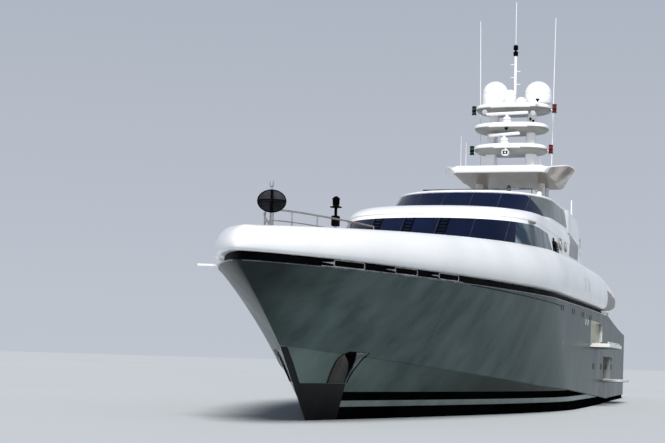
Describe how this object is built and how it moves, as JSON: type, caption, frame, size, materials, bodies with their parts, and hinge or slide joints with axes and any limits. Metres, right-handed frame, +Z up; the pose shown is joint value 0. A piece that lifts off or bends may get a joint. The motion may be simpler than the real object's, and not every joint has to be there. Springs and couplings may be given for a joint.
{
  "type": "motor yacht, 1:2 scale model",
  "caption": "Half-scale model of a three-tier displacement motor yacht afloat, with twin screws, spade rudders, stabiliser fins, fold-out balcony and turning radars.",
  "frame": {"origin": "centreline at the waterline, amidships (half way between the foremost point of the collar and the aft edge of the swim platform)", "axes": "+X towards the bow, +Y to port, +Z up"},
  "size_m": [29.72, 6.4236, 13.3836],
  "materials": {
    "hull_grey": "glossy metallic paint",
    "white_paint": "glossy",
    "black_paint": "gloss",
    "stainless": "polished",
    "window_glass": "dark tinted",
    "teak": "bare scrubbed",
    "bronze": "polished",
    "red_lamp": "gloss",
    "underwater_black": "matt"
  },
  "bodies": {
    "root": {"hull": "hull_grey", "stem_plate": "stainless", "anchor_port": "stainless", "anchor_starboard": "stainless", "mooring_band": "black_paint", "fairleads_port": "stainless", "fairleads_starboard": "stainless", "collar": "white_paint", "upper_deck": "white_paint", "bridge_house": "white_paint", "bridge_glass": "window_glass", "aft_window_port": "window_glass", "aft_window_starboard": "window_glass", "sky_house": "white_paint", "sky_glass": "window_glass", "boat_deck": "white_paint", "sky_roof": "white_paint", "hardtop": "white_paint", "mast_stage_1": "white_paint", "mast_stage_2": "white_paint", "mast_stage_3": "white_paint", "radome_port": "white_paint", "radome_starboard": "white_paint", "small_dome": "white_paint", "low_dome": "white_paint", "mast_pole": "white_paint", "whip_port": "white_paint", "whip_starboard": "white_paint", "side_light_low_port": "red_lamp", "side_light_high_port": "red_lamp", "side_light_low_starboard": "black_paint", "side_light_high_starboard": "black_paint", "radar_pedestal_upper": "white_paint", "radar_pedestal_lower": "white_paint", "jackstaff": "stainless", "anchor_ball": "black_paint", "forward_lamp_post": "black_paint", "bow_rail": "stainless", "shaft_bracket_port": "bronze", "shaft_bracket_starboard": "bronze", "aft_bulkhead": "white_paint", "swim_platform": "teak"},
    "radar_scanner_upper": {"radar_scanner_upper": "white_paint"},
    "radar_scanner_lower": {"radar_scanner_lower": "white_paint"},
    "propeller_port": {"propeller_port": "bronze", "shaft_port": "stainless"},
    "propeller_starboard": {"propeller_starboard": "bronze", "shaft_starboard": "stainless"},
    "rudder_port": {"rudder_port": "underwater_black"},
    "rudder_starboard": {"rudder_starboard": "underwater_black"},
    "stabiliser_fin_port": {"stabiliser_fin_port": "underwater_black"},
    "stabiliser_fin_starboard": {"stabiliser_fin_starboard": "underwater_black"},
    "balcony": {"balcony": "white_paint"},
    "side_platform": {"side_platform": "white_paint"},
    "mooring_flap": {"mooring_flap": "white_paint"},
    "side_door_port": {"side_door_port": "window_glass"},
    "side_door_starboard": {"side_door_starboard": "window_glass"},
    "transom_door": {"transom_door": "hull_grey"},
    "saloon_door": {"saloon_door": "window_glass"}
  },
  "joints": [
    {"name": "radar_upper_spin", "type": "hinge", "parent": "root", "child": "radar_scanner_upper", "pos_m": [-6.3, -0.05, 7.875], "axis": [0, 0, 1], "continuous": true},
    {"name": "radar_lower_spin", "type": "hinge", "parent": "root", "child": "radar_scanner_lower", "pos_m": [-6.2, -0.1, 7.25], "axis": [0, 0, 1], "continuous": true},
    {"name": "propeller_port_spin", "type": "hinge", "parent": "root", "child": "propeller_port", "pos_m": [-12.15, 1.2, -1.25], "axis": [0.9991, 0, 0.0423], "continuous": true},
    {"name": "rudder_port_turn", "type": "hinge", "parent": "root", "child": "rudder_port", "pos_m": [-12.95, 1.2, -1], "axis": [0, 0, 1], "range_deg": [-35, 35]},
    {"name": "stabiliser_port_tilt", "type": "hinge", "parent": "root", "child": "stabiliser_fin_port", "pos_m": [-0.75, 2.5, -0.975], "axis": [0, 0.766, -0.6428], "range_deg": [-25, 25]},
    {"name": "propeller_starboard_spin", "type": "hinge", "parent": "root", "child": "propeller_starboard", "pos_m": [-12.15, -1.2, -1.25], "axis": [0.9991, 0, 0.0423], "continuous": true},
    {"name": "rudder_starboard_turn", "type": "hinge", "parent": "root", "child": "rudder_starboard", "pos_m": [-12.95, -1.2, -1], "axis": [0, 0, 1], "range_deg": [-35, 35]},
    {"name": "stabiliser_starboard_tilt", "type": "hinge", "parent": "root", "child": "stabiliser_fin_starboard", "pos_m": [-0.75, -2.5, -0.975], "axis": [0, -0.766, -0.6428], "range_deg": [-25, 25]},
    {"name": "balcony_fold", "type": "hinge", "parent": "root", "child": "balcony", "pos_m": [-3.75, 2.7, 1.5], "axis": [1, 0, 0], "range_deg": [0, 90]},
    {"name": "side_platform_fold", "type": "hinge", "parent": "root", "child": "side_platform", "pos_m": [-7.1, 2.6, 0.625], "axis": [1, 0, 0], "range_deg": [0, 90]},
    {"name": "mooring_flap_fold", "type": "hinge", "parent": "root", "child": "mooring_flap", "pos_m": [12.69122, -1.02605, 2.32145], "axis": [-0.9363, -0.3512, 0], "range_deg": [0, 90]},
    {"name": "side_door_port_slide", "type": "slide", "parent": "root", "child": "side_door_port", "axis": [-1, 0, 0], "range_m": [0, 0.64]},
    {"name": "side_door_starboard_slide", "type": "slide", "parent": "root", "child": "side_door_starboard", "axis": [-1, 0, 0], "range_m": [0, 0.64]},
    {"name": "transom_door_fold", "type": "hinge", "parent": "root", "child": "transom_door", "pos_m": [-13.625, 0, 1.5353], "axis": [0, 1, 0], "range_deg": [-90, 0]},
    {"name": "saloon_door_slide", "type": "slide", "parent": "root", "child": "saloon_door", "axis": [0, 1, 0], "range_m": [0, 0.8]}
  ]
}
